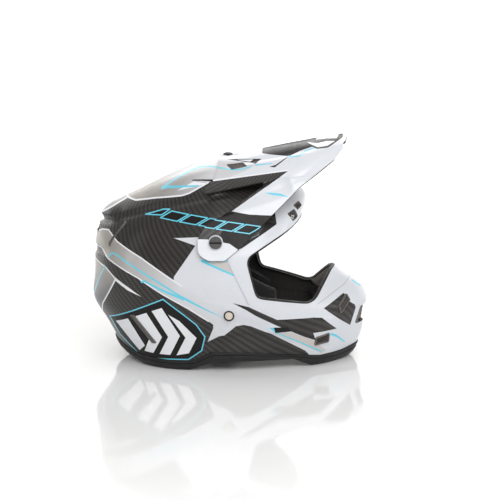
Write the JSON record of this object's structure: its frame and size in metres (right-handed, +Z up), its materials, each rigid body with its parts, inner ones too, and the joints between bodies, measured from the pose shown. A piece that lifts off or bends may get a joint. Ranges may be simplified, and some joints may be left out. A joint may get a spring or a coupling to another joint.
{
  "type": "motocross helmet",
  "caption": "Off-road helmet with a long tilting peak, open eyeport, vented chin bar, floating inner liner, pull-out cheek pads and a D-ring strap.",
  "frame": {"origin": "centre of the overall box, on the level surface the helmet stands on", "axes": "+X towards the front of the chin bar and the peak tip, +Y towards the wearer's left, +Z up"},
  "size_m": [0.3537, 0.2505, 0.29],
  "materials": {
    "black_rubber": "satin black moulded edge rubber",
    "brass_insert": "plain turned",
    "damper_rubber": "blue elastomer",
    "foam_black": "moulded expanded foam, black",
    "foam_grey": "moulded expanded foam, grey",
    "lining_fabric": "black knitted lining over foam",
    "painted_white": "gloss lacquer over composite, white with printed stripes",
    "rivet_enamel": "beige enamel",
    "screw_plastic": "textured dark grey nylon",
    "steel": "bright plated",
    "vent_mesh": "dark grey moulded mesh",
    "vent_plastic": "fine-textured dark grey",
    "webbing": "black woven nylon webbing"
  },
  "bodies": {
    "shell": {"base_trim": "black_rubber", "brow_vent_inner_left": "vent_mesh", "brow_vent_inner_right": "vent_mesh", "brow_vent_outer_left": "vent_mesh", "brow_vent_outer_right": "vent_mesh", "cheek_foam_left": "foam_black", "cheek_foam_right": "foam_black", "chin_bar_foam": "foam_black", "chin_vent_lower_left": "vent_plastic", "chin_vent_lower_right": "vent_plastic", "chin_vent_upper_left": "vent_plastic", "chin_vent_upper_right": "vent_plastic", "exhaust_lower_left": "vent_plastic", "exhaust_lower_right": "vent_plastic", "exhaust_upper_left": "vent_plastic", "exhaust_upper_right": "vent_plastic", "eyeport_trim": "black_rubber", "liner_damper_1": "damper_rubber", "liner_damper_2": "damper_rubber", "liner_damper_3": "damper_rubber", "liner_damper_4": "damper_rubber", "liner_damper_5": "damper_rubber", "liner_damper_6": "damper_rubber", "liner_damper_7": "damper_rubber", "liner_damper_8": "damper_rubber", "mouth_vent_bezel": "vent_plastic", "mouth_vent_mesh": "vent_mesh", "neck_roll": "lining_fabric", "outer_liner": "foam_black", "outer_shell": "painted_white", "peak_insert_left": "brass_insert", "peak_insert_right": "brass_insert", "peak_insert_top": "brass_insert", "rear_vent": "vent_mesh", "strap_rivet_left": "rivet_enamel", "strap_rivet_right": "rivet_enamel"},
    "peak": {"peak": "painted_white", "peak_intake_mesh_left": "vent_mesh", "peak_intake_mesh_right": "vent_mesh"},
    "peak_screw_left": {"peak_screw_left": "screw_plastic"},
    "peak_screw_right": {"peak_screw_right": "screw_plastic"},
    "peak_screw_top": {"peak_screw_top": "screw_plastic"},
    "floating_liner": {"inner_liner": "foam_grey", "crown_pad": "lining_fabric"},
    "cheek_pad_left": {"cheek_pad_left": "lining_fabric"},
    "cheek_pad_right": {"cheek_pad_right": "lining_fabric"},
    "chin_strap": {"chin_strap_left": "webbing", "chin_strap_right": "webbing", "d_ring_1": "steel", "d_ring_2": "steel", "strap_sleeve": "lining_fabric", "strap_snap": "steel"}
  },
  "joints": [
    {"name": "peak_tilt", "type": "hinge", "parent": "shell", "child": "peak", "pos_m": [-0.011, 0, 0.167], "axis": [0, 1, 0], "range_deg": [-3, 3]},
    {"name": "peak_screw_left_turn", "type": "hinge", "parent": "shell", "child": "peak_screw_left", "pos_m": [-0.011, 0.12, 0.167], "axis": [0, 1, 0], "continuous": true},
    {"name": "peak_screw_right_turn", "type": "hinge", "parent": "shell", "child": "peak_screw_right", "pos_m": [-0.011, -0.12, 0.167], "axis": [0, -1, 0], "continuous": true},
    {"name": "peak_screw_top_turn", "type": "hinge", "parent": "shell", "child": "peak_screw_top", "pos_m": [-0.001, 0, 0.26], "axis": [0, 0, 1], "continuous": true},
    {"name": "liner_float", "type": "hinge", "parent": "shell", "child": "floating_liner", "pos_m": [-0.026, 0, 0.122], "axis": [0, 0, 1], "range_deg": [-3, 3], "stiffness_Nm_per_rad": 20},
    {"name": "cheek_pad_left_release", "type": "slide", "parent": "shell", "child": "cheek_pad_left", "axis": [0, -1, 0], "range_m": [0, 0.012]},
    {"name": "cheek_pad_right_release", "type": "slide", "parent": "shell", "child": "cheek_pad_right", "axis": [0, 1, 0], "range_m": [0, 0.012]},
    {"name": "chin_strap_swing", "type": "hinge", "parent": "shell", "child": "chin_strap", "pos_m": [0.005, 0, 0.075], "axis": [0, 1, 0], "range_deg": [-12, 12]}
  ]
}
